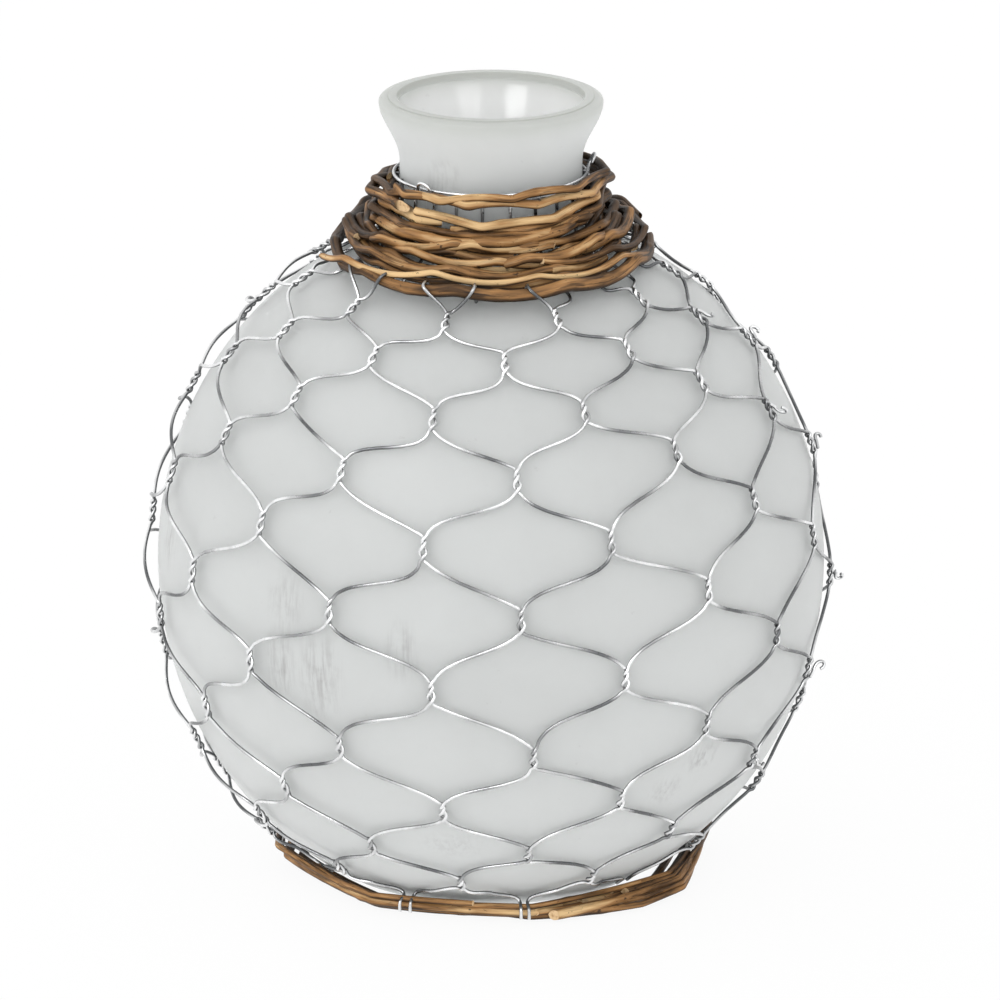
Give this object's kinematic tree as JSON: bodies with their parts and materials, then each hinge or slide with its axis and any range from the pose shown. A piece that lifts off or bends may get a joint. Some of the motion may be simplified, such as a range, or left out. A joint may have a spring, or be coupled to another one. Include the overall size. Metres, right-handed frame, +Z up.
{
  "type": "netted globe vase",
  "caption": "Frosted glass globe vase with a short flared neck, in a jacket of hexagonal wire netting held by wound willow rods at shoulder and foot.",
  "frame": {"origin": "middle of the glass foot, on the plane that the vase stands on", "axes": "+Z up along the bottle's axis, -Y towards the side that the picture shows"},
  "size_m": [0.1884, 0.1845, 0.2136],
  "materials": {
    "glass": "frosted, translucent pale grey",
    "wire": "galvanised, drawn, slightly dulled",
    "willow": "unpeeled rods, satin brown bark with dark specks"
  },
  "bodies": {
    "root": {"glass_bottle": "glass", "netting_wire_01": "wire", "netting_wire_02": "wire", "netting_wire_03": "wire", "netting_wire_04": "wire", "netting_wire_05": "wire", "netting_wire_06": "wire", "netting_wire_07": "wire", "netting_wire_08": "wire", "netting_wire_09": "wire", "netting_wire_10": "wire", "netting_wire_11": "wire", "netting_wire_12": "wire", "netting_wire_13": "wire", "netting_wire_14": "wire", "netting_wire_15": "wire", "netting_wire_16": "wire", "netting_wire_17": "wire", "netting_wire_18": "wire", "netting_wire_19": "wire", "netting_wire_20": "wire", "netting_wire_21": "wire", "netting_wire_22": "wire", "seam_tie_01": "wire", "seam_tie_02": "wire", "seam_tie_03": "wire", "seam_tie_04": "wire", "seam_tie_05": "wire", "seam_tie_06": "wire", "seam_tie_07": "wire", "collar_rod_01": "willow", "collar_rod_02": "willow", "collar_rod_03": "willow", "collar_rod_04": "willow", "collar_rod_05": "willow", "collar_rod_06": "willow", "collar_rod_07": "willow", "collar_rod_08": "willow", "collar_outer_rod_01": "willow", "collar_outer_rod_02": "willow", "collar_outer_rod_03": "willow", "collar_outer_rod_04": "willow", "collar_outer_rod_05": "willow", "collar_outer_rod_06": "willow", "collar_outer_rod_07": "willow", "neck_tie_wire": "wire", "base_rod_01": "willow", "base_rod_02": "willow", "base_rod_03": "willow", "base_rod_04": "willow", "base_brace_rod": "willow"}
  },
  "joints": []
}
